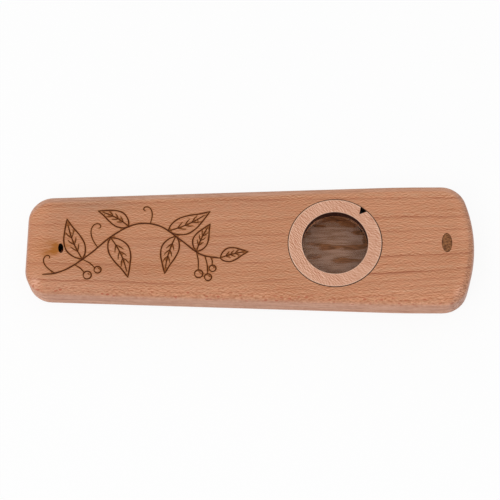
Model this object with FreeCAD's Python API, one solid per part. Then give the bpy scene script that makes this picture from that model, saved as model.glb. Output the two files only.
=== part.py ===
import FreeCAD, Part
import math
import os
from FreeCAD import Vector

# Flat wooden kazoo, in millimetres. Two boards glued face to face enclose a tapered air channel. A thin film
# closes a round chamber in the upper board, and a turning ring holds it down.
# +X runs from the narrow end to the wide end, which the player hums into. +Z is up, out through the film.
# The origin is the centre of the underside.

# Outline of both boards, seen from above
LENGTH = 124.5
WIDE_WIDTH = 35.0
NARROW_WIDTH = 28.3  # where the tapered sides, carried on, meet the narrow end
PARALLEL_LENGTH = 20.0  # stretch next to the wide end without taper
SIDE_BLEND_LENGTH = 6.5  # the taper eases into the parallel stretch this far each way
NARROW_CORNER_RADIUS = 7.0
WIDE_CORNER_RADIUS = 7.2
WIDE_END_RADIUS = 40.0  # the wide end bulges, the narrow end is straight

# Boards, and the glue between them
LOWER_THICKNESS = 5.0
GLUE_THICKNESS = 0.1
UPPER_THICKNESS = 6.2
EDGE_RADIUS = 2.6  # rounding round the top and the underside

# Air channel, milled into both boards, and the wood left under it and between it and the film
CHANNEL_WIDE_WIDTH = 17.0
CHANNEL_NARROW_WIDTH = 11.0
CHANNEL_CORNER_RADIUS = 0.5
FLOOR_THICKNESS = 2.3
LEDGE_THICKNESS = 1.1

# Film, hoop and ring, stacked in a round seat in the upper board
RING_FROM_WIDE_END = 38.5
RING_DIAMETER = 25.8
RING_WIDTH = 3.8  # rim to bore
RING_HEIGHT = 2.7
RING_CHAMFER = 0.12
HOOP_WIDTH = 3.1
HOOP_THICKNESS = 0.5
FILM_THICKNESS = 0.1
SEAT_CLEARANCE = 0.15  # all round, so that the ring turns and lifts
SEAT_CHAMFER = 0.1
LEDGE_WIDTH = 2.85  # the film lies on this much of the seat, round the chamber

# Notch in the ring's rim, cut right through, where a fingernail or a blade lifts and turns it
NOTCH_WIDTH = 2.25
NOTCH_DEPTH = 2.1
NOTCH_ANGLE = 51.2  # degrees from +X towards +Y

# Vent through the upper board, and the shallow burnt oval at the other end
VENT_LENGTH = 1.5
VENT_WIDTH = 2.9
VENT_TURN = 6.5  # degrees
VENT_FROM_NARROW_END = 9.9
VENT_OFFSET = 1.6  # off the middle, towards -Y
OVAL_LENGTH = 2.9
OVAL_WIDTH = 5.7
OVAL_DEPTH = 0.3
OVAL_FROM_WIDE_END = 7.65

OVERRUN = 2.0  # how far every cut runs past the face that it opens

# Heights and places that follow from the sizes above
TOP_Z = LOWER_THICKNESS + GLUE_THICKNESS + UPPER_THICKNESS
UPPER_Z = LOWER_THICKNESS + GLUE_THICKNESS
RING_Z = TOP_Z - RING_HEIGHT
HOOP_Z = RING_Z - HOOP_THICKNESS
FILM_Z = HOOP_Z - FILM_THICKNESS  # the ledge that the film lies on
ROOF_Z = FILM_Z - LEDGE_THICKNESS  # the channel's roof
RING_RADIUS = RING_DIAMETER / 2
SEAT_RADIUS = RING_RADIUS + SEAT_CLEARANCE
CHAMBER_RADIUS = SEAT_RADIUS - LEDGE_WIDTH
NARROW_END_X = -LENGTH / 2
WIDE_END_X = LENGTH / 2
RING_X = WIDE_END_X - RING_FROM_WIDE_END


def half_angle(before, corner, after):
    """Half the angle between two straight runs that meet at a corner."""
    return (before - corner).getAngle(after - corner) / 2


def tangent_arc(before, corner, after, reach):
    """Start, middle and end of the arc that rounds a corner, from reach before it to reach after it."""
    towards_before = (before - corner).normalize()
    towards_after = (after - corner).normalize()
    half = half_angle(before, corner, after)
    bisector = (towards_before + towards_after).normalize()
    middle = corner + bisector * (reach / math.cos(half) - reach * math.tan(half))
    return corner + towards_before * reach, middle, corner + towards_after * reach


def wide_corner_arc(side):
    """Start, middle and end of the arc from a parallel side into the bulging wide end."""
    end_centre = Vector(WIDE_END_X - WIDE_END_RADIUS, 0, 0)
    corner_y = WIDE_WIDTH / 2 - WIDE_CORNER_RADIUS
    reach = WIDE_END_RADIUS - WIDE_CORNER_RADIUS
    corner_centre = end_centre + Vector(math.sqrt(reach**2 - corner_y**2), side * corner_y, 0)
    from_side = Vector(0, side, 0)
    from_end = (corner_centre - end_centre).normalize()
    middle = (from_side + from_end).normalize()
    return [corner_centre + way * WIDE_CORNER_RADIUS for way in (from_side, middle, from_end)]


def side_runs(side):
    """Edges of one side, from the narrow end's corner to the wide end's corner, and its two end points."""
    narrow_middle = Vector(NARROW_END_X, 0, 0)
    narrow_corner = Vector(NARROW_END_X, side * NARROW_WIDTH / 2, 0)
    taper_end = Vector(WIDE_END_X - PARALLEL_LENGTH, side * WIDE_WIDTH / 2, 0)
    wide_arc = wide_corner_arc(side)
    narrow_reach = NARROW_CORNER_RADIUS / math.tan(half_angle(narrow_middle, narrow_corner, taper_end))
    narrow_arc = tangent_arc(narrow_middle, narrow_corner, taper_end, narrow_reach)
    blend_arc = tangent_arc(narrow_corner, taper_end, wide_arc[0], SIDE_BLEND_LENGTH)
    edges = [Part.Arc(*points).toShape() for points in (narrow_arc, blend_arc, wide_arc)]
    edges.append(Part.makeLine(narrow_arc[2], blend_arc[0]))
    edges.append(Part.makeLine(blend_arc[2], wide_arc[0]))
    return edges, narrow_arc[0], wide_arc[2]


def outline_face(z):
    """The kazoo's outline, as a face at a height."""
    left_edges, left_narrow, left_wide = side_runs(1)
    right_edges, right_narrow, right_wide = side_runs(-1)
    narrow_end = Part.makeLine(right_narrow, left_narrow)
    wide_end = Part.Arc(left_wide, Vector(WIDE_END_X, 0, 0), right_wide).toShape()
    wire = Part.Wire(Part.__sortEdges__([narrow_end, wide_end] + left_edges + right_edges))
    wire.translate(Vector(0, 0, z))
    return Part.Face(wire)


def board(z, thickness):
    """A plain board with the kazoo's outline."""
    return outline_face(z).extrude(Vector(0, 0, thickness))


def face_at(shape, z):
    """The face whose centre lies nearest to a height."""
    return min(shape.Faces, key=lambda face: abs(face.CenterOfMass.z - z))


def channel_half_width(x):
    """Half the air channel's width, which grows evenly towards the wide end."""
    along_share = (x - NARROW_END_X) / LENGTH
    return (CHANNEL_NARROW_WIDTH + along_share * (CHANNEL_WIDE_WIDTH - CHANNEL_NARROW_WIDTH)) / 2


def air_channel(closed_z, open_z):
    """The channel's space from its floor or roof to the seam, with rounded inner corners at closed_z."""
    start_x = NARROW_END_X - OVERRUN
    end_x = WIDE_END_X + OVERRUN
    start_y = channel_half_width(start_x)
    end_y = channel_half_width(end_x)
    corners = [
        Vector(start_x, -start_y, closed_z),
        Vector(end_x, -end_y, closed_z),
        Vector(end_x, end_y, closed_z),
        Vector(start_x, start_y, closed_z),
    ]
    plan = Part.Face(Part.makePolygon(corners + corners[:1]))
    space = plan.extrude(Vector(0, 0, open_z - closed_z))
    long_edges = [edge for edge in face_at(space, closed_z).Edges if edge.Length > LENGTH / 2]
    return space.makeFillet(CHANNEL_CORNER_RADIUS, long_edges)


def round_space(radius, low_z, high_z):
    """A cylinder on the ring's axis."""
    return Part.makeCylinder(radius, high_z - low_z, Vector(RING_X, 0, low_z))


def oval_space(length, width, turn, x, y, low_z, high_z):
    """An upright oval cylinder, made from a unit one and turned by some degrees."""
    sizes = FreeCAD.Matrix()
    sizes.scale(length / 2, width / 2, high_z - low_z)
    space = Part.makeCylinder(1, 1).transformGeometry(sizes)
    space.rotate(Vector(0, 0, 0), Vector(0, 0, 1), turn)
    space.translate(Vector(x, y, low_z))
    return space


def lower_half():
    """Lower board, with the lower part of the air channel and the chamber."""
    shape = board(0, LOWER_THICKNESS)
    shape = shape.makeFillet(EDGE_RADIUS, face_at(shape, 0).Edges)
    shape = shape.cut(air_channel(FLOOR_THICKNESS, LOWER_THICKNESS + OVERRUN))
    return shape.cut(round_space(CHAMBER_RADIUS, FLOOR_THICKNESS, LOWER_THICKNESS + OVERRUN))


def glue_seam():
    """Glue between the boards, wherever they meet."""
    shape = board(LOWER_THICKNESS, GLUE_THICKNESS)
    shape = shape.cut(air_channel(FLOOR_THICKNESS, UPPER_Z + OVERRUN))
    return shape.cut(round_space(CHAMBER_RADIUS, FLOOR_THICKNESS, UPPER_Z + OVERRUN))


def ring_seat():
    """Round seat for film, hoop and ring, with a chamfered mouth."""
    mouth_z = TOP_Z - SEAT_CHAMFER
    mouth_height = SEAT_CHAMFER + OVERRUN
    mouth = Part.makeCone(SEAT_RADIUS, SEAT_RADIUS + mouth_height, mouth_height, Vector(RING_X, 0, mouth_z))
    return round_space(SEAT_RADIUS, FILM_Z, TOP_Z + OVERRUN).fuse(mouth)


def upper_half():
    """Upper board, with the rest of the channel and chamber, the seat, the vent and the burnt oval."""
    shape = board(UPPER_Z, UPPER_THICKNESS)
    shape = shape.makeFillet(EDGE_RADIUS, face_at(shape, TOP_Z).Edges)
    vent_x = NARROW_END_X + VENT_FROM_NARROW_END
    oval_x = WIDE_END_X - OVAL_FROM_WIDE_END
    spaces = [
        air_channel(ROOF_Z, UPPER_Z - OVERRUN),
        round_space(CHAMBER_RADIUS, UPPER_Z - OVERRUN, FILM_Z + OVERRUN),
        ring_seat(),
        oval_space(VENT_LENGTH, VENT_WIDTH, VENT_TURN, vent_x, -VENT_OFFSET, UPPER_Z, TOP_Z + OVERRUN),
        oval_space(OVAL_LENGTH, OVAL_WIDTH, 0, oval_x, 0, TOP_Z - OVAL_DEPTH, TOP_Z + OVERRUN),
    ]
    for space in spaces:
        shape = shape.cut(space)
    return shape


def membrane_film():
    """Thin clear film that buzzes, stretched over the chamber."""
    return round_space(RING_RADIUS, FILM_Z, HOOP_Z)


def membrane_hoop():
    """Thin hoop on the film, which takes the ring's rubbing."""
    hoop = round_space(RING_RADIUS, HOOP_Z, RING_Z)
    return hoop.cut(round_space(RING_RADIUS - HOOP_WIDTH, HOOP_Z - OVERRUN, RING_Z + OVERRUN))


def rim_notch():
    """Triangular prism that cuts the notch, its point towards the ring's axis."""
    point_x = RING_RADIUS - NOTCH_DEPTH
    base_x = RING_RADIUS + OVERRUN
    base_y = NOTCH_WIDTH / 2 * (NOTCH_DEPTH + OVERRUN) / NOTCH_DEPTH
    low_z = RING_Z - OVERRUN
    corners = [Vector(point_x, 0, low_z), Vector(base_x, -base_y, low_z), Vector(base_x, base_y, low_z)]
    plan = Part.Face(Part.makePolygon(corners + corners[:1]))
    prism = plan.extrude(Vector(0, 0, RING_HEIGHT + OVERRUN * 2))
    prism.rotate(Vector(0, 0, 0), Vector(0, 0, 1), NOTCH_ANGLE)
    prism.translate(Vector(RING_X, 0, 0))
    return prism


def membrane_ring():
    """Wooden ring, flush with the top, that holds the film and the hoop in the seat."""
    shape = round_space(RING_RADIUS, RING_Z, TOP_Z)
    shape = shape.cut(round_space(RING_RADIUS - RING_WIDTH, RING_Z - OVERRUN, TOP_Z + OVERRUN))
    shape = shape.makeChamfer(RING_CHAMFER, face_at(shape, TOP_Z).Edges)
    return shape.cut(rim_notch())


def main():
    os.makedirs("parts", exist_ok=True)
    for make in (lower_half, glue_seam, upper_half, membrane_film, membrane_hoop, membrane_ring):
        shape = make()
        shape.exportStep(f"parts/{make.__name__}.step")
        print(make.__name__, len(shape.Solids), shape.isValid(), round(shape.Volume, 3))


main()
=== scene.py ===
"""Looks for the flat wooden kazoo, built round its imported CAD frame.

The frame's axes: +X along the kazoo towards the wide end, +Z up out through the film. Near is the -Y
side and far the +Y side. Objects are in metres. Sizes below are in millimetres, a noise's factors are
its frequencies per millimetre along each axis, and colours are sRGB values from 0 to 255.
"""

import math
import random

import bpy
import numpy as np
from mathutils import Matrix, Vector
from mathutils.geometry import delaunay_2d_cdt

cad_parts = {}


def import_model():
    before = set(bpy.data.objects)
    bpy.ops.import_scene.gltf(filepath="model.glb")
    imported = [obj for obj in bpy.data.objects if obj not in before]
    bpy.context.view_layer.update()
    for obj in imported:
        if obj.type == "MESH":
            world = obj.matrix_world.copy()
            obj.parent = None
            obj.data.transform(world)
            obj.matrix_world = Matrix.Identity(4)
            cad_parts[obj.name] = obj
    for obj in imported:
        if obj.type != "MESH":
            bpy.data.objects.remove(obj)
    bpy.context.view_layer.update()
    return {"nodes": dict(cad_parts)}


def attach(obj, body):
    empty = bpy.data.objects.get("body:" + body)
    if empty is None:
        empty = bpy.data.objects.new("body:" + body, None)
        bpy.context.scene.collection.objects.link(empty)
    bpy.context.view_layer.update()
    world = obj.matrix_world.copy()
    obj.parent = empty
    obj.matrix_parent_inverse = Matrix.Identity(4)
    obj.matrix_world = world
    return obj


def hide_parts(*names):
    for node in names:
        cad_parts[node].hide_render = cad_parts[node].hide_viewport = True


MM = 0.001

# Places on the kazoo, as in its CAD source
TOP_Z = 11.3
RING_X = 23.75
SEAT_RADIUS = 13.05
CHAMBER_RADIUS = 10.2
FILM_RADIUS = 12.9
FILM_LOW_Z = 8.0
FILM_HIGH_Z = 8.1
VENT_CENTRE = (-52.35, -1.6)
OVAL_CENTRE = (54.6, 0.0)
OVAL_RADII = (1.45, 2.85)
VENT_REACH = 1.6
RING_RADIUS = 12.9
BORE_RADIUS = 9.1
FLAT_TOP_TOLERANCE = 0.0005
EDGE_HALF_WIDTH = 15.9
EDGE_SLOPE = 0.032
WIDE_END_BULGE = 0.0125

# Camera
CAMERA_TARGET = (0.0197, 0.1031, 5.5)
CAMERA_AZIMUTH = 5.7534
CAMERA_ELEVATION = 68.3904
CAMERA_ROLL = -5.3682
CAMERA_DISTANCE = 484.553
CAMERA_LENS = 124.56
SENSOR_WIDTH = 36.0
CLIP_START = 0.01
CLIP_END = 20.0

# Light
SKY_LEVEL = 0.8
KEY_WATTS = 1.7
KEY_SIZE = 420.0
KEY_PLACE = (-260.0, -420.0, 720.0)
FLOOR_SIDE = 6000.0
FLOOR_DROP = 0.05
FLOOR_OWN_GLOW = 0.9

# Engraved lines
LINE_HALF_WIDTH = 0.18
LINE_DEPTH = 0.2
LINE_STEP = 0.35
HALO_REACH = 0.9
HALO_SPACING = 0.42
HALO_CLEARANCE = 0.12
SEARCH_MARGIN = 1.5
ENGRAVED_LOW = (-59.0, -13.0)
ENGRAVED_HIGH = (2.0, 13.0)
MERGE_DISTANCE = 1e-5
LEAST_DOUBLE_AREA = 1e-9
SWELL_TURN = 6.28
SEED = 7

# The film's sheet and its waves
FILM_RINGS = 30
FILM_SEGMENTS = 96
FILM_FREE_RADIUS = 9.4
FILM_WAVE_HEIGHT = 0.025

# Growth lines of the board's wood: place across the board where they lie straight, and strength
NEAR_GROWTH_LINES = (
    (-20.0, 0.7),
    (-17.6, 0.3),
    (-15.4, 0.4),
    (-12.5, 1.0),
    (-9.6, 0.2),
    (-6.95, 0.85),
    (-2.75, 0.45),
)
FAR_GROWTH_LINES = (
    (-0.8, 0.5),
    (1.6, 0.75),
    (3.1, 0.18),
    (6.3, 0.8),
    (8.7, 0.15),
    (10.9, 0.25),
    (12.75, 1.0),
    (16.4, 0.4),
)
GROWTH_LOW = -21.5
GROWTH_MIDDLE = -1.75
GROWTH_HIGH = 19.0
LINE_FADES = (1.1, 0.4)
PALE_FADES = (0.85, 0.9)
PALE_SHIFT = 1.15
STOP_GAP = 0.02

# Growth lines spread away from one x, rise beyond another and dip below the top, per millimetre
SPREAD_FROM_X = -8.0
GROWTH_SPREAD = 0.003
RISE_FROM_X = -16.0
GROWTH_RISE = 0.045
GROWTH_DIP = 0.9

# Finish of the wood and of the hoop
CRISP_STEP = 0.27
DOT_RADIUS = 0.36
RING_GRAIN_TURN = 48.5
RING_GRAIN_BEND = -0.0126
WOOD_IOR = 1.35
WOOD_BUMP = 0.12
HOOP_BUMP = 0.2

# Directions from the ring's axis, which set where painted shade and painted light fall
SEAT_LIT_SIDE = (-0.42, 0.91)
RING_UNSHADED_SIDE = (-0.6, 0.8)
PAINTED_LIGHT_SIDE = (-0.97, -0.26)
FAR_LEFT = (-0.78, 0.63)
FAR_RIGHT = (0.68, 0.73)

# How far the burnt patches shift across the grain for each millimetre below the film
PATCH_LEAN = 0.396

# Burnt patches in the ring's bore: place from the ring's axis, half length and half width
PATCHES = (
    (-1.0, 9.4, 9.5, 2.9),
    (4.4, 7.1, 5.6, 2.1),
    (-4.4, 6.4, 3.2, 1.0),
    (-8.4, 3.9, 3.4, 1.2),
    (-4.6, 0.8, 6.4, 1.2),
    (-1.6, -0.5, 4.6, 1.2),
    (0.4, 0.3, 3.6, 0.7),
    (5.8, -0.1, 6.4, 1.8),
    (-5.8, -3.0, 3.8, 1.0),
    (3.4, -4.1, 7.2, 1.4),
    (6.7, 4.4, 3.4, 1.6),
    (9.2, 2.2, 2.4, 3.0),
)

# Amber scorch beside the vent: centre, radii, turn in degrees and strength
SCORCH_SPOTS = (
    ((-53.7, -1.9), (2.2, 2.7), 0, 1.3),
    ((-54.6, 0.0), (3.2, 1.5), -12, 0.55),
    ((-55.6, -2.9), (3.2, 1.6), 14, 0.75),
    ((-50.9, -0.8), (2.6, 1.1), -6, 0.75),
    ((-57.0, -1.6), (5.0, 4.0), 0, 0.3),
)

# Painted highlights on the near side's rounded corners: centre, radii, turn in degrees and strength
CORNER_HIGHLIGHT_SPOTS = (
    ((-59.1, -11.6), (2.6, 2.0), -40, 1.0),
    ((57.2, -14.5), (3.2, 1.4), 60, 0.75),
)


def srgb(red, green, blue, alpha=1.0):
    """Linear colour of an sRGB one given from 0 to 255."""
    linear = []
    for level in (red, green, blue):
        share = level / 255
        linear.append(share / 12.92 if share <= 0.04045 else ((share + 0.055) / 1.055) ** 2.4)
    return (*linear, alpha)


# Colours of the boards' wood
BOARD_DARK = srgb(153, 91, 51)
BOARD_LIGHT = srgb(217, 158, 123)
BOARD_GREYISH = srgb(186, 140, 120)
BOARD_WARM = srgb(222, 156, 122)
GROWTH_LINE = srgb(146, 80, 51)
RAY_DASH = srgb(158, 88, 56)
# Painted sheen: greyer, paler colours for the sides, the far rounding and the underside
SIDE_SHEEN_DARK = srgb(170, 117, 94)
SIDE_SHEEN_LIGHT = srgb(213, 167, 142)
FAR_SHEEN_DARK = srgb(170, 122, 98)
FAR_SHEEN_LIGHT = srgb(206, 162, 138)
UNDERSIDE_SHEEN = srgb(178, 140, 124)
EDGE_DOT = srgb(172, 94, 66)
# Painted highlight on the near corners' roundings
CORNER_HIGHLIGHT_COLOUR = srgb(236, 180, 154)
END_PORE = srgb(138, 88, 62)
# Painted sheen on the rim of the ends
END_RIM_SHEEN = srgb(196, 156, 142)

# Colours of the burnt places
SCORCH = srgb(158, 90, 8)
VENT_CHAR = srgb(34, 18, 12)
OVAL_DARK = srgb(86, 44, 12)
OVAL_LIGHT = srgb(156, 102, 60)
OVAL_RIM = srgb(88, 52, 28)
# The seat's charred mouth with painted shade: lit on the far side, shaded on the near side
MOUTH_LIT = srgb(134, 94, 70)
MOUTH_SHADED = srgb(40, 21, 13)
SEAT_CHAR = srgb(26, 14, 9)
PATCH_DARK = srgb(106, 64, 34)
PATCH_LIGHT = srgb(156, 98, 58)
CHAMBER_DARK = srgb(143, 102, 76)
CHAMBER_LIGHT = srgb(173, 131, 107)
LINE_FRINGE = srgb(160, 100, 38)
LINE_EDGE = srgb(122, 63, 0)
LINE_BOTTOM = srgb(76, 27, 0)

# Colours of the ring with its painted highlights and light, the glue, the film's veil of painted
# reflection and the hoop, kept dark as painted shade
RING_DARK = srgb(173, 111, 76)
RING_LIGHT = srgb(233, 186, 160)
RING_DASH = srgb(170, 98, 68)
# Painted highlight on the ring's sharp edges
RING_EDGE_HIGHLIGHT = srgb(236, 198, 172)
CHAR_DARK = srgb(26, 9, 6)
CHAR_LIGHT = srgb(70, 27, 15)
# Painted light low in the ring's bore
BORE_PAINTED_LIGHT = srgb(176, 128, 98)
GLUE_DARK = srgb(104, 62, 40)
GLUE_LIGHT = srgb(150, 104, 78)
# Painted reflection on the film, with painted light at its left and a painted highlight at its rim
REFLECTION_DARK = srgb(200, 172, 160)
REFLECTION_LIGHT = srgb(224, 198, 186)
LEFT_PAINTED_LIGHT = srgb(236, 172, 132)
FILM_RIM_HIGHLIGHT = srgb(216, 150, 108)
# Hoop kept dark as painted shade where it shows through the ring's notch
HOOP_SHADE_DARK = srgb(20, 18, 17)
HOOP_SHADE_LIGHT = srgb(44, 40, 38)

# Tints, which multiply the colour under them
COOL_TINT = (0.985, 1.02, 1.03, 1)
RED_TINT = (1.02, 0.98, 0.965, 1)
PALE_BAND_TINT = (0.99, 1.08, 1.14, 1)
NEAR_STRIP_TINT = (1.06, 1.08, 1.1, 1)
# Painted light on the far strip towards the wide end
FAR_STRIP_PAINTED_LIGHT = (1.06, 1.08, 1.09, 1)
DULL_TINT = (0.86, 0.9, 0.92, 1)
# Painted highlight where the wide end starts to round
WIDE_END_HIGHLIGHT_TINT = (1.05, 1.06, 1.08, 1)
WIDE_END_TINT = (0.93, 0.97, 1.02, 1)
NARROW_END_TINT = (1.1, 1.08, 1.06, 1)
CHAMBER_RIGHT_TINT = (0.84, 0.86, 0.91, 1)


class Nodes:
    """The node tree of a material or the world, with a short call for each kind of node used here."""

    def __init__(self, owner):
        self.owner = owner
        owner.use_nodes = True
        self.tree = owner.node_tree
        self.tree.nodes.clear()

    def feed(self, socket, value):
        """Links a socket, or sets its constant."""
        if isinstance(value, bpy.types.NodeSocket):
            self.tree.links.new(value, socket)
        else:
            socket.default_value = value

    def node(self, kind, inputs, **settings):
        """Adds a node with its settings and inputs."""
        made = self.tree.nodes.new("ShaderNode" + kind)
        for name, value in settings.items():
            setattr(made, name, value)
        for key, value in inputs.items():
            self.feed(made.inputs[key], value)
        return made

    def math(self, operation, *values, clamp=False):
        inputs = dict(enumerate(values))
        return self.node("Math", inputs, operation=operation, use_clamp=clamp).outputs[0]

    def times(self, first, second, clamp=False):
        return self.math("MULTIPLY", first, second, clamp=clamp)

    def plus(self, first, second):
        return self.math("ADD", first, second)

    def minus(self, first, second):
        return self.math("SUBTRACT", first, second)

    def larger(self, first, second):
        return self.math("MAXIMUM", first, second)

    def linear(self, value, factor, offset, clamp=False):
        """The value times the factor, plus the offset."""
        return self.math("MULTIPLY_ADD", value, factor, offset, clamp=clamp)

    def vector(self, operation, *values):
        inputs = dict(enumerate(values))
        return self.node("VectorMath", inputs, operation=operation).outputs[0]

    def distance(self, first, second):
        return self.node("VectorMath", {0: first, 1: second}, operation="DISTANCE").outputs["Value"]

    def parts(self, vector):
        """The x, y and z of a vector."""
        return self.node("SeparateXYZ", {0: vector}).outputs

    def joined(self, x, y, z):
        return self.node("CombineXYZ", {0: x, 1: y, 2: z}).outputs[0]

    def noise(self, place, factors, detail=2.0, roughness=0.5, shift=0.0):
        """Smooth noise from 0 to 1, with its own frequency along each axis."""
        scaled = self.node(
            "Mapping", {"Vector": place, "Scale": factors, "Location": (shift, shift * 1.7, shift * 2.3)}
        ).outputs[0]
        inputs = {"Vector": scaled, "Scale": 1.0, "Detail": detail, "Roughness": roughness}
        return self.node("TexNoise", inputs).outputs[0]

    def swing(self, place, factors, **settings):
        """The same noise, 0 on average."""
        return self.minus(self.noise(place, factors, **settings), 0.5)

    def window(self, value, low, high, to_low=0.0, to_high=1.0):
        """Smooth step from to_low at low to to_high at high."""
        inputs = {0: value, 1: low, 2: high, 3: to_low, 4: to_high}
        return self.node("MapRange", inputs, interpolation_type="SMOOTHSTEP").outputs[0]

    def mix(self, share, first, second, blend="MIX"):
        inputs = {0: share, 6: first, 7: second}
        return self.node("Mix", inputs, data_type="RGBA", blend_type=blend).outputs[2]

    def tinted(self, share, colour, tint):
        """The colour, multiplied by the tint as far as the share says."""
        return self.mix(share, colour, tint, blend="MULTIPLY")

    def bump(self, height, strength, depth):
        """The direction of a surface raised by the height times a depth in millimetres."""
        inputs = {"Strength": strength, "Distance": depth * MM, "Height": height}
        return self.node("Bump", inputs).outputs[0]

    def surface(self, shader):
        """Ends a material's tree with its shader, and returns the material."""
        self.node("OutputMaterial", {"Surface": shader})
        return self.owner

    def principled(self, inputs):
        """Ends a material's tree with a Principled shader, and returns the material."""
        return self.surface(self.node("BsdfPrincipled", inputs).outputs[0])


def material_nodes(name):
    """The empty node tree of a new material."""
    return Nodes(bpy.data.materials.new(name))


def object_place(t, turn=0.0):
    """Object coordinates in millimetres, turned about +Z."""
    place = t.node("TexCoord", {}).outputs["Object"]
    inputs = {"Vector": place, "Scale": (1 / MM,) * 3, "Rotation": (0, 0, math.radians(turn))}
    return t.node("Mapping", inputs).outputs[0]


def object_normal(t):
    """The surface's direction in the object's own axes."""
    return t.node("TexCoord", {}).outputs["Normal"]


def growth_ramp(t, across, lines, low, high, fades):
    """Strength of some growth lines, with how far each fades on its near and its far side."""
    span = high - low
    share = t.node("MapRange", {0: across, 1: low, 2: high}).outputs[0]
    made = t.node("ValToRGB", {0: share})
    ramp = made.color_ramp
    stops = []
    free_from = low + STOP_GAP
    for centre, strength in lines:
        level = math.sqrt(strength)
        stops.append((max(centre - fades[0], free_from), 0.0))
        stops.append((centre, level))
        stops.append((centre + fades[1], 0.0))
        free_from = centre + fades[1] + STOP_GAP
    for end in (0, 1):
        ramp.elements[end].position = end
        ramp.elements[end].color = (0, 0, 0, 1)
    for place, level in stops:
        stop = ramp.elements.new((place - low) / span)
        stop.color = (level, level, level, 1)
    return t.math("POWER", made.outputs[0], 2.0)


def rippled(t, place, amount):
    """The place, shifted across the grain in ripples a few millimetres long."""
    shift = t.times(t.swing(place, (0.19, 0.30, 0.20), detail=1.0), amount)
    return t.vector("ADD", place, t.joined(0.0, shift, 0.0))


def crisp_noise(t, place, degrees, factors, shift):
    """Noise drawn out along a direction a little off the grain, less its broad part, 0 on average."""
    inputs = {"Vector": place, "Rotation": (0, 0, math.radians(degrees))}
    slanted = t.node("Mapping", inputs).outputs[0]
    beside = 0.0
    for step in (-CRISP_STEP, CRISP_STEP):
        moved = t.vector("ADD", slanted, (0.0, step, 0.0))
        beside = t.plus(beside, t.noise(moved, factors, detail=1.0, shift=shift))
    return t.linear(beside, -0.5, t.noise(slanted, factors, detail=1.0, shift=shift))


def crossed_flecks(t, place):
    """Short flecks that slant both ways, staggered like bricks, 0 on average."""
    rising = crisp_noise(t, place, 11, (1.1, 2.4, 1.2), 31.0)
    falling = crisp_noise(t, place, -10, (1.1, 2.4, 1.2), 47.0)
    return t.plus(rising, falling)


def fibre_tone(t, place, flecks):
    """Light and dark of the fibres, 0 on average."""
    fine = t.swing(place, (0.7, 3.2, 3.2), detail=3.0, roughness=0.62)
    broad = t.swing(place, (0.035, 0.24, 0.24), detail=2.0, shift=9.0)
    tone = t.linear(fine, 0.4, t.times(flecks, 1.6))
    return t.linear(broad, 0.6, tone)


def board_wood():
    """Pink-brown beech of both boards, with growth lines, ray dashes, end grain and burnt places."""
    t = material_nodes("board_wood")
    place = object_place(t)
    normal = t.parts(object_normal(t))
    waved = rippled(t, place, 0.9)
    flecks = crossed_flecks(t, waved)
    tone = fibre_tone(t, waved, flecks)
    colour = plain_board(t, place, waved, tone)
    lines, pale_bands = growth_lines(t, place, flecks)
    colour = t.tinted(pale_bands, colour, PALE_BAND_TINT)
    line_share = t.times(lines, t.linear(flecks, -0.8, 0.8, clamp=True))
    colour = t.mix(line_share, colour, GROWTH_LINE)
    colour = ray_dashes(t, colour, place, waved, normal)
    colour = rounded_edges(t, colour, place, normal, flecks)
    colour = burnt(t, colour, place, waved)
    roughness = t.linear(tone, -0.12, 0.58, clamp=True)
    height = t.linear(tone, 0.5, t.times(lines, -0.4))
    bump = t.bump(height, WOOD_BUMP, 0.06)
    inputs = {"Base Color": colour, "Roughness": roughness, "IOR": WOOD_IOR, "Normal": bump}
    return t.principled(inputs)


def plain_board(t, place, waved, tone):
    """The wood between the growth lines: greyer in places, warmer towards the wide end."""
    x = t.parts(place)[0]
    contrast = t.window(x, 5.0, 45.0, 0.6, 0.7)
    share = t.linear(tone, contrast, 0.5, clamp=True)
    colour = t.mix(share, BOARD_DARK, BOARD_LIGHT)
    greyish = t.window(t.noise(place, (0.03, 0.14, 0.1), detail=2.0, shift=120.0), 0.42, 0.7, 0.0, 0.15)
    colour = t.mix(t.times(greyish, t.window(x, 35.0, -10.0)), colour, BOARD_GREYISH)
    colour = t.mix(t.window(x, 10.0, 50.0, 0.0, 0.12), colour, BOARD_WARM)
    reddish = t.window(t.noise(waved, (0.4, 1.7, 1.7), detail=2.0, shift=66.0), 0.38, 0.62)
    return t.tinted(1.0, colour, t.mix(reddish, COOL_TINT, RED_TINT))


def ray_dashes(t, colour, place, waved, normal):
    """Ray dashes on what faces up, coarser and redder towards the near side."""
    x, y, _ = t.parts(place)
    rays = t.noise(waved, (0.8, 2.8, 0.14), detail=1.0, shift=52.0)
    near = t.window(y, -10.5, -14.5)
    density = t.linear(near, t.window(x, 20.0, -20.0, 0.45, 0.7), 0.15)
    dashes = t.times(t.window(rays, 0.58, 0.74), density)
    upward = t.window(normal[2], 0.1, 0.7)
    return t.mix(t.times(dashes, upward), colour, RAY_DASH)


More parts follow.
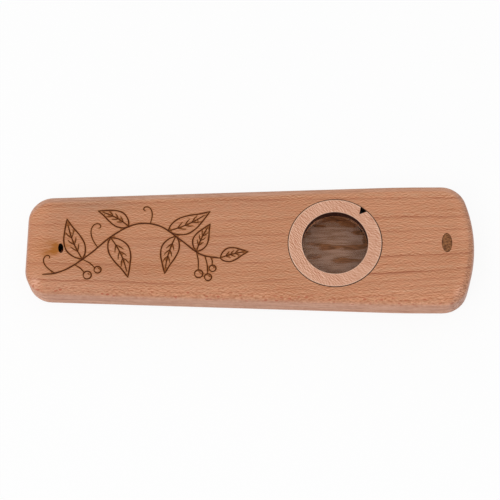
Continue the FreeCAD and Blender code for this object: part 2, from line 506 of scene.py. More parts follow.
def growth_lines(t, place, flecks):
    """Growth lines, and the paler bands on their far side.

    They spread and rise towards the wide end, dip into the board and fade in places.
    """
    x, y, z = t.parts(place)
    spread = t.linear(t.math("ABSOLUTE", t.minus(x, SPREAD_FROM_X)), GROWTH_SPREAD, 1.0)
    rise = t.times(t.larger(t.minus(x, RISE_FROM_X), 0.0), -GROWTH_RISE)
    dip = t.times(t.minus(z, TOP_Z), GROWTH_DIP)
    across = t.linear(t.plus(y, dip), spread, rise)
    slow = t.swing(place, (0.06, 0.08, 0.05), detail=2.0)
    quick = t.times(t.swing(place, (0.3, 0.3, 0.1), shift=5.0), 0.7)
    jagged = t.linear(flecks, 0.35, t.plus(slow, quick))
    across = t.plus(across, jagged)
    folded = t.plus(t.math("ABSOLUTE", t.minus(across, GROWTH_LOW)), GROWTH_LOW)
    faded = t.window(t.noise(place, (0.07, 0.5, 0.4), detail=3.0, shift=14.0), 0.36, 0.6, 0.35, 1.0)
    faded = t.times(faded, t.window(x, 15.0, 42.0, 0.85, 1.25))
    made = []
    for shift, fades in ((0.0, LINE_FADES), (-PALE_SHIFT, PALE_FADES)):
        moved = t.plus(folded, shift)
        near = growth_ramp(t, moved, NEAR_GROWTH_LINES, GROWTH_LOW, GROWTH_MIDDLE, fades)
        far = growth_ramp(t, moved, FAR_GROWTH_LINES, GROWTH_MIDDLE, GROWTH_HIGH, fades)
        made.append(t.times(t.plus(near, far), faded))
    return made


def rounded_edges(t, colour, place, normal, flecks):
    """Sides, rounded edges and underside, paler and greyer than the top as painted sheen set by which way
    they face, with dots and the ends.
    """
    x, _, height = t.parts(place)
    colour = paler_strips(t, colour, place)
    streaks = t.noise(place, (0.06, 1.4, 2.4), detail=4.0, roughness=0.62, shift=90.0)
    dashes = t.noise(place, (0.45, 2.6, 3.6), detail=2.0, shift=97.0)
    fibres = t.linear(dashes, 0.4, t.times(streaks, 0.6))
    light = t.window(fibres, 0.36, 0.64)
    # Painted sheen on the sides, far rounding and underside, chosen by which way the surface faces; the
    # fibre streaks are the wood's own
    side = t.window(normal[2], 0.72, 0.0, 0.0, 0.8)
    lower = t.window(height, 9.6, 6.0, 0.45, 1.0)
    colour = t.mix(t.times(side, lower), colour, t.mix(light, SIDE_SHEEN_DARK, SIDE_SHEEN_LIGHT))
    far = t.times(t.window(normal[1], 0.06, 0.3), t.window(normal[2], 0.0, 0.3))
    far_sheen_share = t.window(x, 25.0, -15.0, 0.5, 0.85)
    colour = t.mix(t.times(far, far_sheen_share), colour, t.mix(light, FAR_SHEEN_DARK, FAR_SHEEN_LIGHT))
    underside_sheen_share = t.window(normal[2], 0.15, -0.4, 0.0, 0.5)
    colour = t.mix(underside_sheen_share, colour, UNDERSIDE_SHEEN)
    colour = t.mix(near_edge_dots(t, place, normal), colour, EDGE_DOT)
    return end_wood(t, colour, place, normal, flecks)


def paler_strips(t, colour, place):
    """The top, paler along both edges and duller at the far side of the narrow end. The paler far strip
    towards the wide end is painted light, lifting the rounding's shade.
    """
    x, y, _ = t.parts(place)
    half_width = t.linear(x, EDGE_SLOPE, EDGE_HALF_WIDTH)
    strip = t.times(t.window(t.plus(y, half_width), 4.4, 2.8), t.window(x, -25.0, 5.0))
    colour = t.tinted(strip, colour, NEAR_STRIP_TINT)
    # Painted light along the far edge towards the wide end, lifting the shade of the rounding
    strip = t.times(t.window(t.minus(half_width, y), 4.6, 1.6), t.window(x, 0.0, 35.0))
    colour = t.tinted(strip, colour, FAR_STRIP_PAINTED_LIGHT)
    dull = ellipse_spot(t, place, (-43.0, 11.5), (17.0, 4.5))
    return t.tinted(dull, colour, DULL_TINT)


def near_edge_dots(t, place, normal):
    """Dots where the rays come out of the near edge, laid out on its rounding as if it were flat."""
    x, y, z = t.parts(place)
    round_edge = t.times(t.plus(y, z), 0.66)
    laid_out = t.joined(t.times(x, 0.62), round_edge, 0.0)
    cells = t.node("TexVoronoi", {"Vector": laid_out, "Scale": 1.0}, feature="F1").outputs
    filled = t.window(t.parts(cells["Color"])[0], 0.25, 0.6)
    dots = t.times(t.window(cells["Distance"], DOT_RADIUS, DOT_RADIUS * 0.6), filled)
    near = t.times(t.window(normal[1], -0.4, -0.65), t.window(z, 7.5, 8.3))
    near = t.times(near, t.window(x, 15.0, -25.0, 0.8, 1.0))
    return t.times(dots, near)


def end_wood(t, colour, place, normal, flecks):
    """The two ends: full of pores at the wide one, plain at the narrow one, painted sheen as a greyer rim
    at both, and painted highlights where the wide end starts to round and on the near corners.
    """
    x, y, _ = t.parts(place)
    from_middle = t.linear(t.times(y, y), WIDE_END_BULGE, x)
    # Painted highlight band where the wide end starts to round
    colour = t.tinted(t.window(from_middle, 57.2, 59.2), colour, WIDE_END_HIGHLIGHT_TINT)
    colour = t.tinted(t.window(normal[0], 0.1, 0.5), colour, WIDE_END_TINT)
    colour = t.tinted(t.window(x, -54.0, -59.0), colour, NARROW_END_TINT)
    # Painted highlights on the near corners, broken up by the flecks
    highlight_texture = t.linear(flecks, 1.4, 0.45, clamp=True)
    for centre, radii, turn, strength in CORNER_HIGHLIGHT_SPOTS:
        spot = t.times(ellipse_spot(t, place, centre, radii, turn), strength)
        colour = t.mix(t.times(spot, highlight_texture), colour, CORNER_HIGHLIGHT_COLOUR)

    endwise = t.math("ABSOLUTE", normal[0])
    pores = t.window(t.noise(place, (0.7, 2.6, 1.6), detail=2.0, roughness=0.6, shift=70.0), 0.45, 0.62)
    start = t.window(y, 12.0, -12.0, 0.42, 0.16)
    band = t.window(t.minus(endwise, start), 0.0, 0.25)
    shown = t.window(normal[0], -0.1, 0.1, 0.12, 0.75)
    colour = t.mix(t.times(pores, t.times(band, shown)), colour, END_PORE)
    # Painted sheen: a greyer rim where the ends face sideways
    rim = t.times(t.window(endwise, 0.72, 0.9, 0.0, 0.6), t.window(endwise, 1.0, 0.9, 0.5, 1.0))
    return t.mix(rim, colour, END_RIM_SHEEN)


def from_ellipse(t, place, centre, radii, turn=0.0):
    """Distance from the middle of an upright elliptical column, 1 at its rim."""
    inputs = {"Vector": place, "Location": (*centre, 0), "Rotation": (0, 0, math.radians(turn)),
              "Scale": (*radii, 1)}
    local = t.node("Mapping", inputs, vector_type="TEXTURE").outputs[0]
    return from_axis(t, local, 0, 0)


def ellipse_spot(t, place, centre, radii, turn=0.0):
    """1 in the middle of an elliptical spot, fading to 0 at its rim."""
    return t.window(from_ellipse(t, place, centre, radii, turn), 1.0, 0.0)


def from_axis(t, place, x, y):
    """Distance from an upright axis."""
    return t.distance(t.vector("MULTIPLY", place, (1, 1, 0)), (x, y, 0))


def towards(t, x, y, direction):
    """How far a place lies from the ring's axis in a direction."""
    return t.linear(t.minus(x, RING_X), direction[0], t.times(y, direction[1]))


def bore_sides(t, x, y, left, right):
    """The first share at the far left of the ring's bore, the second at its far right, or else 0."""
    far_left = t.window(towards(t, x, y, FAR_LEFT), 7.6, 9.2)
    far_right = t.window(towards(t, x, y, FAR_RIGHT), 7.6, 9.2)
    return t.linear(far_right, right, t.times(far_left, left))


def burnt(t, colour, place, waved):
    """Everything on the boards that heat has marked."""
    height = t.parts(place)[2]
    streaks = t.noise(waved, (0.5, 3.0, 3.0), detail=3.0, shift=21.0)
    colour = scorched_vent(t, colour, place, height, streaks)
    colour = burnt_oval(t, colour, place, height)
    colour = round_seat(t, colour, place, height, waved, streaks)
    return engraved_lines(t, colour, streaks)


def scorched_vent(t, colour, place, height, streaks):
    """Amber scorch beside the vent, and the vent's charred wall."""
    scorch = 0.0
    for centre, radii, turn, strength in SCORCH_SPOTS:
        spot = t.times(ellipse_spot(t, place, centre, radii, turn), strength)
        scorch = t.plus(scorch, spot)
    on_top = t.window(height, TOP_Z - 0.5, TOP_Z - 0.1)
    uneven = t.window(streaks, 0.25, 0.75, 0.6, 1.2)
    scorch = t.times(t.times(scorch, on_top), uneven, clamp=True)
    colour = t.mix(t.times(scorch, 0.9), colour, SCORCH)
    hole = t.math("LESS_THAN", from_axis(t, place, *VENT_CENTRE), VENT_REACH)
    deep = t.window(height, TOP_Z - 0.02, TOP_Z - 0.25)
    return t.mix(t.times(hole, deep), colour, VENT_CHAR)


def burnt_oval(t, colour, place, height):
    """The shallow oval, burnt brown and speckled."""
    off_middle = from_ellipse(t, place, OVAL_CENTRE, OVAL_RADII)
    below = t.window(height, TOP_Z - 0.005, TOP_Z - 0.06)
    share = t.times(t.window(off_middle, 1.06, 1.0), below)
    speckle = t.noise(place, (1.1, 3.0, 3.0), detail=3.0, roughness=0.7, shift=40.0)
    inside = t.mix(t.window(speckle, 0.38, 0.62), OVAL_DARK, OVAL_LIGHT)
    inside = t.mix(t.window(off_middle, 0.8, 0.98, 0.0, 0.3), inside, OVAL_RIM)
    return t.mix(share, colour, inside)


def round_seat(t, colour, place, height, waved, streaks):
    """The ring's seat, charred below its mouth with painted shade darker towards the near side, and the
    brown floor and walls of the chamber.
    """
    x, y, _ = t.parts(place)
    off_axis = from_axis(t, place, RING_X, 0)
    below = t.window(height, TOP_Z, TOP_Z - 0.06)
    in_seat = t.window(off_axis, SEAT_RADIUS + 0.3, SEAT_RADIUS + 0.05)
    # Charred mouth with painted shade: pale on the far side, dark towards the near side
    mouth_char_and_shade = t.mix(t.window(towards(t, x, y, SEAT_LIT_SIDE), 10.0, -8.0), MOUTH_LIT, MOUTH_SHADED)
    colour = t.mix(t.times(t.times(in_seat, below), 0.9), colour, mouth_char_and_shade)
    deep = t.times(in_seat, t.window(height, TOP_Z - 0.35, TOP_Z - 0.7))
    colour = t.mix(deep, colour, SEAT_CHAR)
    near_chamber = t.window(off_axis, CHAMBER_RADIUS + 0.4, CHAMBER_RADIUS)
    chamber = t.times(near_chamber, t.window(height, 9.0, 8.4))
    return t.mix(chamber, colour, chamber_wood(t, place, height, waved, streaks))


def chamber_wood(t, place, height, waved, streaks):
    """Wood of the chamber: burnt in the ragged patches, pale between them, darker to the right."""
    burnt_wood = t.mix(t.window(streaks, 0.3, 0.7), PATCH_DARK, PATCH_LIGHT)
    fibres = t.noise(waved, (0.16, 1.5, 1.5), detail=2.0, shift=3.0)
    pale_wood = t.mix(t.window(fibres, 0.35, 0.65), CHAMBER_DARK, CHAMBER_LIGHT)
    lean = t.times(t.minus(height, FILM_HIGH_Z), PATCH_LEAN)
    full, _ = ragged_patches(t, t.vector("ADD", place, t.joined(0.0, lean, 0.0)))
    wood = t.mix(full, burnt_wood, pale_wood)
    right = t.window(t.parts(place)[0], RING_X, RING_X + 7.0)
    return t.tinted(right, wood, CHAMBER_RIGHT_TINT)


def engraved_lines(t, colour, streaks):
    """Amber fringe, brown edges and a dark bottom, from how near the groove is."""
    groove = t.node("Attribute", {}, attribute_name="groove").outputs["Fac"]
    halo = t.node("Attribute", {}, attribute_name="halo").outputs["Fac"]
    uneven = t.window(streaks, 0.3, 0.7, 0.35, 1.0)
    fringe = t.times(t.math("POWER", halo, 3.0), uneven)
    colour = t.mix(t.times(fringe, 0.6), colour, LINE_FRINGE)
    edge = t.window(halo, 0.88, 1.0)
    colour = t.mix(t.times(edge, 0.85), colour, LINE_EDGE)
    return t.mix(t.window(groove, 0.0, 0.5), colour, LINE_BOTTOM)


def ring_wood():
    """Paler beech of the ring, its grain turned across the board's, its cut walls charred."""
    t = material_nodes("ring_wood")
    straight = object_place(t)
    x, y, _ = t.parts(straight)
    from_middle = t.minus(x, RING_X)
    bend = t.times(t.times(from_middle, from_middle), RING_GRAIN_BEND)
    place = t.vector("ADD", object_place(t, turn=RING_GRAIN_TURN), t.joined(0.0, bend, 0.0))
    waved = rippled(t, place, 0.4)
    tone = ring_tone(t, waved)
    contrast = t.window(x, RING_X + 9, RING_X - 9, 0.75, 1.55)
    contrast = t.times(contrast, t.window(t.math("ABSOLUTE", y), 12.0, 2.0, 0.75, 1.0))
    share = t.linear(tone, contrast, 0.52, clamp=True)
    colour = t.mix(share, RING_DARK, RING_LIGHT)
    dashes = t.window(t.noise(waved, (0.45, 2.8, 0.2), detail=1.0, shift=61.0), 0.6, 0.72, 0.0, 0.5)
    colour = t.mix(dashes, colour, RING_DASH)
    colour = ring_walls(t, colour, place, straight)
    roughness = t.linear(tone, -0.12, 0.6, clamp=True)
    bump = t.bump(tone, WOOD_BUMP, 0.05)
    inputs = {"Base Color": colour, "Roughness": roughness, "IOR": WOOD_IOR, "Normal": bump}
    return t.principled(inputs)


def ring_tone(t, waved):
    """Light and dark of the ring's fibres, 0 on average."""
    fine = t.swing(waved, (0.3, 3.0, 3.0), detail=2.0, roughness=0.6)
    lines = t.swing(waved, (0.07, 1.2, 1.2), detail=2.0, shift=11.0)
    along = crisp_noise(t, waved, 7, (0.8, 3.1, 1.2), 83.0)
    aslant = crisp_noise(t, waved, -18, (0.9, 3.2, 1.2), 7.0)
    tone = t.linear(t.plus(along, aslant), 1.3, t.times(fine, 0.7))
    return t.linear(lines, 0.3, tone)


def ring_walls(t, colour, place, straight):
    """The ring's sharp edges, paler as a painted highlight, and its walls, charred. Painted shade darkens
    the outer rim on the near right, and painted light pales the bore low at the far left and far right.
    """
    x, y, height = t.parts(straight)
    normal = t.parts(object_normal(t))
    off_axis = from_axis(t, straight, RING_X, 0)
    outer = t.window(off_axis, RING_RADIUS - 0.4, RING_RADIUS - 0.15)
    inner = t.window(off_axis, BORE_RADIUS + 0.35, BORE_RADIUS + 0.1)
    # Painted highlight along the ring's outer and inner edges
    colour = t.mix(t.times(t.larger(outer, inner), 0.5), colour, RING_EDGE_HIGHLIGHT)
    rim = t.window(off_axis, RING_RADIUS - 0.13, RING_RADIUS - 0.04)
    # Painted shade: the outer rim charred darker on the near right side
    rim_painted_shade = t.times(rim, t.window(towards(t, x, y, RING_UNSHADED_SIDE), 3.0, -9.0, 0.0, 0.65))
    bore = t.window(off_axis, BORE_RADIUS + 0.12, BORE_RADIUS + 0.03)
    walls = t.window(t.math("ABSOLUTE", normal[2]), 0.6, 0.35)
    charred = t.larger(walls, t.larger(rim_painted_shade, bore))
    char = t.mix(t.noise(place, (0.8, 0.8, 2.5), detail=3.0), CHAR_DARK, CHAR_LIGHT)
    # Painted light low in the bore at the far left and far right
    low = t.times(t.window(height, 9.5, 8.8), t.window(off_axis, 9.5, 9.3))
    char = t.mix(t.times(low, bore_sides(t, x, y, 0.8, 0.45)), char, BORE_PAINTED_LIGHT)
    return t.mix(charred, colour, char)


def glue():
    """Dried wood glue, with darker and lighter stretches."""
    t = material_nodes("glue")
    place = object_place(t)
    stretch = t.noise(place, (0.2, 0.6, 3.0), detail=3.0)
    colour = t.mix(stretch, GLUE_DARK, GLUE_LIGHT)
    inputs = {"Base Color": colour, "Roughness": t.window(stretch, 0.3, 0.7, 0.35, 0.6), "IOR": 1.45}
    return t.principled(inputs)


def ragged_patches(t, place):
    """Long ragged patches in the ring's bore: 1 between them and nearly 0 in them, with their streaks."""
    bent = t.times(t.swing(place, (0.16, 0.5, 0.5), detail=3.0), 3.0)
    ragged = t.vector("ADD", place, t.joined(0.0, bent, 0.0))
    clear = 0.0
    for centre_x, centre_y, half_length, half_width in PATCHES:
        spot = ellipse_spot(t, ragged, (RING_X + centre_x, centre_y), (half_length, half_width))
        clear = t.plus(clear, spot)
    streaks = t.noise(place, (0.18, 2.2, 2.2), detail=1.0, roughness=0.55)
    frayed = t.linear(t.minus(streaks, 0.5), 0.55, clear)
    return t.window(frayed, 0.16, 0.6, 1.0, 0.06), streaks


def film():
    """Clear glossy film under a thin veil of painted reflection, thinnest over the burnt patches below
    it.
    """
    t = material_nodes("film")
    place = object_place(t)
    x, y, _ = t.parts(place)
    full, streaks = ragged_patches(t, t.joined(x, y, FILM_HIGH_Z))
    painted_reflection = t.times(full, t.window(streaks, 0.3, 0.7, 0.014, 0.022))

    # Painted light: the veil is thicker towards the left, lifting the ring's shade there, and a painted
    # highlight runs pale along the hoop, most of all at the far left and far right
    towards_painted_light_side = towards(t, x, y, PAINTED_LIGHT_SIDE)
    painted_reflection = t.plus(painted_reflection, t.window(towards_painted_light_side, 3.0, 9.5, 0.0, 0.085))
    off_axis = from_axis(t, place, RING_X, 0)
    rim = t.times(t.window(off_axis, 8.9, 9.15), t.window(off_axis, 9.5, 9.35))
    painted_reflection = t.plus(painted_reflection, t.times(rim, t.plus(bore_sides(t, x, y, 0.45, 0.2), 0.05)))
    colour = t.mix(streaks, REFLECTION_DARK, REFLECTION_LIGHT)
    colour = t.mix(t.window(towards_painted_light_side, 3.0, 9.0, 0.0, 0.8), colour, LEFT_PAINTED_LIGHT)
    colour = t.mix(rim, colour, FILM_RIM_HIGHLIGHT)
    inputs = {"Base Color": colour, "Roughness": 0.12, "IOR": 1.6, "Alpha": painted_reflection}
    return t.principled(inputs)


def hoop():
    """Dark smooth plastic with faint turning marks, kept dark as painted shade where it shows through the
    ring's notch.
    """
    t = material_nodes("hoop")
    place = object_place(t)
    marks = t.noise(place, (2.0, 2.0, 2.0), detail=3.0)
    colour = t.mix(marks, HOOP_SHADE_DARK, HOOP_SHADE_LIGHT)
    bump = t.bump(marks, HOOP_BUMP, 0.02)
    inputs = {"Base Color": colour, "Roughness": t.window(marks, 0.2, 0.8, 0.3, 0.5), "Normal": bump}
    return t.principled(inputs)


def floor_material():
    """Plain white floor. Part of it glows for the camera, so that it looks white beside the shadow."""
    t = material_nodes("floor")
    place = object_place(t)
    cloud = t.noise(place, (0.01, 0.01, 0.01), detail=2.0)
    colour = t.mix(cloud, (0.86, 0.86, 0.86, 1), (0.9, 0.9, 0.9, 1))
    matt = t.node("BsdfDiffuse", {"Color": colour}).outputs[0]
    glow = t.node("Emission", {"Color": (1, 1, 1, 1), "Strength": 1.0}).outputs[0]
    share = t.times(seen_rays(t), FLOOR_OWN_GLOW)
    return t.surface(t.node("MixShader", {0: share, 1: matt, 2: glow}).outputs[0])


def seen_rays(t):
    """1 for rays that show the background: from the camera, mirrored or through clear material."""
    path = t.node("LightPath", {}).outputs
    seen = t.larger(path["Is Camera Ray"], path["Is Glossy Ray"])
    return t.larger(seen, path["Is Transmission Ray"])


def smooth_line(points):
    """Points about LINE_STEP apart along a Catmull-Rom curve through the given ones."""
    first = [2 * a - b for a, b in zip(points[0], points[1])]
    last = [2 * a - b for a, b in zip(points[-1], points[-2])]
    ends = np.array([first, *points, last], float)
    line = []
    for before, start, end, after in zip(ends, ends[1:], ends[2:], ends[3:]):
        count = max(2, round(float(np.linalg.norm(end - start)) / LINE_STEP))
        share = np.arange(count)[:, None] / count
        line.append(
            0.5
            * (
                2 * start
                + (end - before) * share
                + (2 * before - 5 * start + 4 * end - after) * share**2
                + (3 * start - before - 3 * end + after) * share**3
            )
        )
    line.append(ends[-2][None, :])
    return np.concatenate(line)


def turned(points, base, degrees):
    """Points drawn along +X from the origin, turned and moved to their base."""
    angle = math.radians(degrees)
    cosine = math.cos(angle)
    sine = math.sin(angle)
    return [(base[0] + x * cosine - y * sine, base[1] + x * sine + y * cosine) for x, y in points]


def leaf(base, degrees, length, width, bend=0.0):
    """Strokes of one pointed leaf: its two edges, midrib and side veins."""
    def along(share, side):
        middle = bend * length * share * (1 - share) * 4
        return (length * share, middle + side * width / 2)

    shares = (0.0, 0.12, 0.32, 0.55, 0.78, 1.0)
    swell = (0.0, 0.62, 1.0, 0.86, 0.42, 0.0)
    upper = [along(share, size) for share, size in zip(shares, swell)]
    lower = [along(share, -size) for share, size in zip(shares, swell)]
    midrib = [along(share, 0) for share in (0.0, 0.3, 0.6, 0.86)]
    strokes = [(upper, 1.0), (lower, 1.0), (midrib, 0.85)]
    for share in (0.2, 0.37, 0.54):
        reach = 0.56 * (1 - 0.5 * abs(share - 0.4))
        for side in (1, -1):
            start = along(share, 0)
            middle = along(share + 0.09, side * reach * 0.55)
            tip = along(share + 0.16, side * reach * (1 - 0.55 * share))
            strokes.append(([start, middle, tip], 0.7))
    return [(turned(points, base, degrees), weight) for points, weight in strokes]


def berry(centre, radius, stalk_from):
    """A round berry, a short mark inside it, and its stalk."""
    ring = []
    for step in range(9):
        angle = math.radians(200 + step * 45)
        ring.append((centre[0] + radius * math.cos(angle), centre[1] + radius * math.sin(angle)))
    mark = [(centre[0] + 0.1, centre[1] + radius * 0.5), (centre[0] + radius * 0.5, centre[1] + 0.1)]
    away = Vector(stalk_from) - Vector(centre)
    foot = Vector(centre) + away.normalized() * radius
    middle = (foot + Vector(stalk_from)) / 2 + Vector((0.25, 0.15))
    stalk = [tuple(stalk_from), tuple(middle), tuple(foot)]
    return [(ring, 0.95), (mark, 0.6), (stalk, 0.8)]


def tendril(base, degrees, length, curl):
    """A thin line that ends in a curl."""
    points = []
    heading = math.radians(degrees)
    x, y = base
    steps = 14
    for step in range(steps + 1):
        points.append((x, y))
        share = step / steps
        pace = length / steps * (1.25 - 0.75 * share)
        x += pace * math.cos(heading)
        y += pace * math.sin(heading)
        heading += math.radians(curl) * (0.15 + 1.7 * share * share) / steps * 1.6
    return [(points, 0.75)]


def sprig_strokes():
    """The engraved sprig, as strokes of points on the top and a weight for each."""
    stem = [(-57.0, -9.4), (-53.5, -9.0), (-49.5, -7.3), (-44.0, -3.2), (-38.0, 2.2), (-31.5, 5.6),
            (-25.0, 5.0), (-19.0, 0.8), (-13.5, -3.4), (-8.0, -4.6)]
    strokes = [(stem, 1.15)]
    strokes += leaf((-46.2, -4.9), 112, 13.0, 5.4, bend=0.05)
    strokes += leaf((-38.6, 1.6), -66, 13.0, 5.6, bend=0.06)
    strokes += leaf((-33.6, 4.9), 152, 10.0, 4.4, bend=-0.06)
    strokes += leaf((-22.6, 3.5), 27, 13.0, 5.2, bend=-0.05)
    strokes += leaf((-20.4, 2.0), -104, 11.5, 4.8, bend=-0.05)
    strokes += leaf((-14.6, -2.6), 66, 9.0, 4.2, bend=0.04)
    strokes += leaf((-8.0, -4.6), 14, 8.0, 4.0, bend=0.05)
    strokes += berry((-44.6, -9.6), 1.15, (-48.2, -6.6))
    strokes += berry((-41.8, -8.0), 1.0, (-46.0, -5.0))
    strokes += berry((-13.8, -9.2), 1.15, (-14.6, -2.7))
    strokes += berry((-11.2, -10.2), 1.0, (-12.2, -4.0))
    strokes += berry((-10.0, -7.6), 0.95, (-10.6, -4.4))
    strokes += tendril((-27.8, 5.6), 70, 9.0, 330)
    strokes += tendril((-42.0, -1.4), 128, 12.0, -330)
    strokes += tendril((-53.5, -9.0), 152, 9.5, -300)
    return strokes


def drawn_lines():
    """Every stroke as centre points and half widths, a little uneven as burnt by hand."""
    chance = random.Random(SEED)
    lines = []
    for points, weight in sprig_strokes():
        centre = smooth_line(points)
        count = len(centre)
        swell = chance.uniform(0, SWELL_TURN)
        shares = np.linspace(0, 1, count)
        ends = np.clip(np.minimum(shares, 1 - shares) * count / 3.0, 0.0, 1.0)
        uneven = 1 + 0.1 * np.sin(np.arange(count) * 0.55 + swell)
        half = LINE_HALF_WIDTH * weight * uneven * (0.45 + 0.55 * ends)
        lines.append((centre, half))
    return lines


def line_distances(points, lines):
    """For each point, how far it is from the nearest line, in millimetres and in half widths."""
    plain = np.full(len(points), np.inf)
    scaled = np.full(len(points), np.inf)
    for centre, half in lines:
        low = centre.min(0) - SEARCH_MARGIN
        high = centre.max(0) + SEARCH_MARGIN
        near = np.where(((points > low) & (points < high)).all(1))[0]
        if not len(near):
            continue
        start = centre[:-1]
        step = centre[1:] - start
        offset = points[near][:, None, :] - start[None, :, :]
        share = np.clip((offset * step).sum(2) / (step * step).sum(1), 0, 1)
        apart = np.linalg.norm(offset - share[..., None] * step, axis=2)
        width = half[:-1] * (1 - share) + half[1:] * share
        edge = np.maximum(apart - width, 0).min(1)
        plain[near] = np.minimum(plain[near], edge)
        scaled[near] = np.minimum(scaled[near], (apart / width).min(1))
    return plain, scaled


def inside_region(points, edges):
    """Whether each point is inside the region that the edges bound, holes left out."""
    crossings = np.zeros(len(points), int)
    for (ax, ay), (bx, by) in edges:
        spans = (ay > points[:, 1]) != (by > points[:, 1])
        if not spans.any():
            continue
        at_x = ax + (points[spans, 1] - ay) * (bx - ax) / (by - ay)
        crossings[spans] += points[spans, 0] < at_x
    return crossings % 2 == 1


def halo_points(lines, edges):
    """Scattered points beside the lines, which carry the fringe's colour."""
    chance = random.Random(SEED + 1)
    jitter = HALO_SPACING * 0.25
    rows = []
    y = ENGRAVED_LOW[1]
    while y < ENGRAVED_HIGH[1]:
        x = ENGRAVED_LOW[0]
        while x < ENGRAVED_HIGH[0]:
            rows.append((x + chance.uniform(-jitter, jitter), y + chance.uniform(-jitter, jitter)))
            x += HALO_SPACING
        y += HALO_SPACING
    points = np.array(rows)
    plain, _ = line_distances(points, lines)
    kept = points[(plain > HALO_CLEARANCE) & (plain < HALO_REACH)]
    return kept[inside_region(kept, edges)]


def line_constraints(lines):
    """Points and edges of each line's centre and of its two sides."""
    points = []
    edges = []
    for centre, half in lines:
        ahead = np.gradient(centre, axis=0)
        ahead /= np.linalg.norm(ahead, axis=1)[:, None]
        sideways = np.stack([-ahead[:, 1], ahead[:, 0]], 1) * half[:, None]
        cap_start = centre[0] - ahead[0] * half[0]
        cap_end = centre[-1] + ahead[-1] * half[-1]
        count = len(centre)
        first = len(points)
        points += [tuple(p) for p in centre]
        for side in (1, -1):
            base = len(points)
            rim = [cap_start, *(centre + side * sideways), cap_end]
            points += [tuple(p) for p in rim]
            edges += [(base + i, base + i + 1) for i in range(len(rim) - 1)]
        edges += [(first + i, first + i + 1) for i in range(count - 1)]
    return points, edges


def board_faces(mesh):
    """The board's merged vertices in millimetres, its triangles and their corners' directions."""
    places = np.zeros(len(mesh.vertices) * 3)
    mesh.vertices.foreach_get("co", places)
    places = places.reshape(-1, 3) / MM
    vertices, merged = np.unique(np.round(places, 4), axis=0, return_inverse=True)
    merged = merged.ravel()
    triangles = np.array([tuple(merged[v] for v in face.vertices) for face in mesh.polygons])
    normals = np.array([tuple(normal.vector) for normal in mesh.corner_normals]).reshape(-1, 3, 3)
    return vertices, triangles, normals


def outer_edges(triangles):
    """The edges that only one of the triangles has."""
    used = {}
    for triangle in triangles:
        for a, b in zip(triangle, np.roll(triangle, -1)):
            edge = frozenset((int(a), int(b)))
            used[edge] = used.get(edge, 0) + 1
    return [tuple(edge) for edge, count in used.items() if count == 1]


def grooved_top(board, old_top):
    """The flat top's triangles anew, with the sprig's grooves, inside the rim of the old ones.

    Returns all vertices, the new triangles, and each vertex's shares of groove and halo.
    """
    rim_edges = outer_edges(old_top)
    rim_ids = sorted({v for edge in rim_edges for v in edge})
    rim_index = {v: i for i, v in enumerate(rim_ids)}
    rim_lines = [(tuple(board[a][:2]), tuple(board[b][:2])) for a, b in rim_edges]

    lines = drawn_lines()
    points = [tuple(board[v][:2]) for v in rim_ids]
    edges = [(rim_index[a], rim_index[b]) for a, b in rim_edges]
    line_points, line_edges = line_constraints(lines)
    edges += [(a + len(points), b + len(points)) for a, b in line_edges]
    points += line_points
    points += [tuple(p) for p in halo_points(lines, rim_lines)]
    points = [Vector(p) for p in points]
    flat, _, triangles, origins, _, _ = delaunay_2d_cdt(points, edges, [], 0, MERGE_DISTANCE)
    flat = np.array([tuple(p) for p in flat])
    triangles = np.array(triangles)
    triangles = triangles[inside_region(flat[triangles].mean(1), rim_lines)]

    plain, scaled = line_distances(flat, lines)
    in_groove = np.clip(1 - scaled, 0, 1)
    in_halo = np.clip(1 - plain / HALO_REACH, 0, 1)
    new_ids = np.zeros(len(flat), int)
    vertices = [tuple(p) for p in board]
    groove = [0.0] * len(vertices)
    halo = [0.0] * len(vertices)
    for i, (x, y) in enumerate(flat):
        rims = [rim_ids[o] for o in origins[i] if o < len(rim_ids)]
        if rims:
            new_ids[i] = rims[0]
            continue
        new_ids[i] = len(vertices)
        vertices.append((x, y, TOP_Z - LINE_DEPTH * in_groove[i]))
        groove.append(in_groove[i])
        halo.append(in_halo[i])
    return np.array(vertices), new_ids[triangles], (("groove", groove), ("halo", halo))


def upward_faces(vertices, triangles):
    """The triangles turned to face up, those without area left out, and their directions."""
    first, second, third = (vertices[triangles[:, k]] for k in range(3))
    facing = np.cross(second - first, third - first)
    flipped = facing[:, 2] < 0
    triangles[flipped] = triangles[flipped][:, ::-1]
    facing[flipped] *= -1
    size = np.linalg.norm(facing, axis=1)
    real = size > LEAST_DOUBLE_AREA
    return triangles[real], facing[real] / size[real][:, None]


def engraved_upper_half(source):
    """The upper board with the sprig cut into its flat top as real grooves."""
    board, triangles, normals = board_faces(source.data)
    on_top = (board[triangles][:, :, 2] > TOP_Z - FLAT_TOP_TOLERANCE).all(1)
    vertices, new_top, marks = grooved_top(board, triangles[on_top])
    new_top, facing = upward_faces(vertices, new_top)
    faces = np.concatenate([triangles[~on_top], new_top])
    corner_normals = np.concatenate([normals[~on_top], np.repeat(facing[:, None, :], 3, axis=1)])

    kept = np.unique(faces)
    renumber = np.full(len(vertices), -1)
    renumber[kept] = np.arange(len(kept))
    made = bpy.data.meshes.new("upper_half_engraved")
    made.from_pydata((vertices[kept] * MM).tolist(), [], renumber[faces].tolist())
    for name, values in marks:
        attribute = made.attributes.new(name, "FLOAT", "POINT")
        attribute.data.foreach_set("value", np.array(values)[kept].astype(np.float32))
    made.polygons.foreach_set("use_smooth", [True] * len(made.polygons))
    made.normals_split_custom_set(corner_normals.reshape(-1, 3).tolist())
    made.update()
    return linked(made)


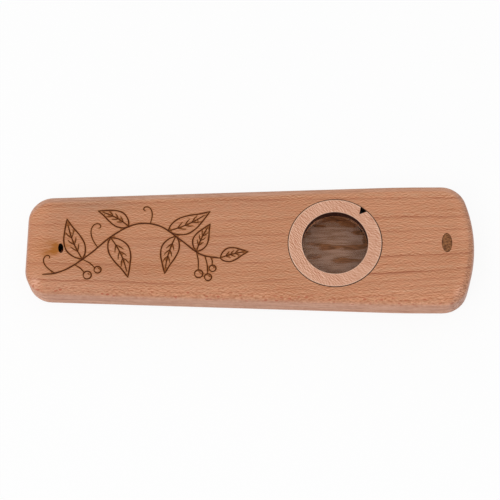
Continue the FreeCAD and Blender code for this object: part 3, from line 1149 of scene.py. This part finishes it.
def film_sheet():
    """The film as a thin round sheet, slightly wavy where nothing holds it."""
    vertices = []
    for level in (FILM_HIGH_Z, FILM_LOW_Z):
        vertices.append((RING_X, 0.0, level + film_wave(0.0, 0.0)))
        for ring in range(1, FILM_RINGS + 1):
            radius = FILM_RADIUS * ring / FILM_RINGS
            for segment in range(FILM_SEGMENTS):
                angle = 2 * math.pi * segment / FILM_SEGMENTS
                x = radius * math.cos(angle)
                y = radius * math.sin(angle)
                vertices.append((RING_X + x, y, level + film_wave(x, y)))
    made = bpy.data.meshes.new("film_sheet")
    made.from_pydata([(x * MM, y * MM, z * MM) for x, y, z in vertices], [], film_faces())
    made.polygons.foreach_set("use_smooth", [True] * len(made.polygons))
    made.set_sharp_from_angle(angle=math.radians(40))
    return linked(made)


def film_faces():
    """Faces of the film's upper side, lower side and rim."""
    faces = []
    count = 1 + FILM_RINGS * FILM_SEGMENTS
    for side in (0, 1):
        base = side * count
        for segment in range(FILM_SEGMENTS):
            after = (segment + 1) % FILM_SEGMENTS
            fan = (base, base + 1 + segment, base + 1 + after)
            faces.append(fan if side == 0 else fan[::-1])
            for ring in range(FILM_RINGS - 1):
                inner = base + 1 + ring * FILM_SEGMENTS
                outer = inner + FILM_SEGMENTS
                quad = (inner + segment, outer + segment, outer + after, inner + after)
                faces.append(quad if side == 0 else quad[::-1])
    top_rim = 1 + (FILM_RINGS - 1) * FILM_SEGMENTS
    for segment in range(FILM_SEGMENTS):
        after = (segment + 1) % FILM_SEGMENTS
        upper = (top_rim + after, top_rim + segment)
        lower = (count + top_rim + segment, count + top_rim + after)
        faces.append(upper + lower)
    return faces


def film_wave(x, y):
    """Height of the film's waves, none where the hoop holds it."""
    free = max(0.0, 1 - (math.hypot(x, y) / FILM_FREE_RADIUS) ** 4)
    wave = math.sin(0.55 * y + 0.25 * x) + 0.6 * math.sin(0.9 * y - 0.3 * x + 1.3)
    return FILM_WAVE_HEIGHT * free * wave


def linked(data):
    """A new object in the scene, named after its data."""
    made = bpy.data.objects.new(data.name, data)
    bpy.context.scene.collection.objects.link(made)
    return made


def dress_nodes(nodes, wood):
    """Gives the CAD nodes that stay their materials."""
    for name, material in (
        ("lower_half", wood),
        ("membrane_ring", ring_wood()),
        ("glue_seam", glue()),
        ("membrane_hoop", hoop()),
    ):
        for place in nodes[name].material_slots:
            place.material = material


def add_floor():
    """A white floor under everything."""
    side = FLOOR_SIDE / 2 * MM
    z = -FLOOR_DROP * MM
    made = bpy.data.meshes.new("floor")
    corners = [(-side, -side, z), (side, -side, z), (side, side, z), (-side, side, z)]
    made.from_pydata(corners, [], [(0, 1, 2, 3)])
    made.materials.append(floor_material())
    floor = linked(made)


def add_light():
    """A bright even sky, which the camera sees as white, and one large soft lamp."""
    world = bpy.data.worlds.new("studio")
    bpy.context.scene.world = world
    t = Nodes(world)
    level = t.node("MapRange", {0: seen_rays(t), 3: SKY_LEVEL, 4: 1.0}).outputs[0]
    sky = t.node("Background", {"Color": (1, 1, 1, 1), "Strength": level}).outputs[0]
    t.node("OutputWorld", {"Surface": sky})

    lamp = bpy.data.lights.new("key", "AREA")
    lamp.energy = KEY_WATTS
    lamp.size = KEY_SIZE * MM
    key = linked(lamp)
    key.location = Vector(KEY_PLACE) * MM
    key.rotation_euler = (-key.location).to_track_quat("-Z", "Y").to_euler()


def add_camera():
    """The camera at the photograph's angle."""
    azimuth = math.radians(CAMERA_AZIMUTH)
    elevation = math.radians(CAMERA_ELEVATION)
    roll = math.radians(CAMERA_ROLL)
    level = math.cos(elevation)
    back = Vector((math.sin(azimuth) * level, -math.cos(azimuth) * level, math.sin(elevation)))
    right = Vector((0, 0, 1)).cross(back).normalized()
    up = back.cross(right)
    side = math.cos(roll) * right + math.sin(roll) * up
    rise = -math.sin(roll) * right + math.cos(roll) * up
    place = (Vector(CAMERA_TARGET) + back * CAMERA_DISTANCE) * MM
    data = bpy.data.cameras.new("camera")
    data.lens = CAMERA_LENS
    data.sensor_width = SENSOR_WIDTH
    data.clip_start = CLIP_START
    data.clip_end = CLIP_END
    camera = linked(data)
    axes = Matrix((side, rise, back)).transposed().to_4x4()
    camera.matrix_world = Matrix.Translation(place) @ axes
    bpy.context.scene.camera = camera


def main():
    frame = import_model()
    nodes = frame["nodes"]
    bpy.context.scene.view_settings.view_transform = "Standard"

    wood = board_wood()
    board = engraved_upper_half(nodes["upper_half"])
    board.data.materials.append(wood)
    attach(board, "body")
    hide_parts("upper_half")

    sheet = film_sheet()
    sheet.data.materials.append(film())
    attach(sheet, "film")
    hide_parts("membrane_film")

    dress_nodes(nodes, wood)
    add_floor()
    add_light()
    add_camera()


main()
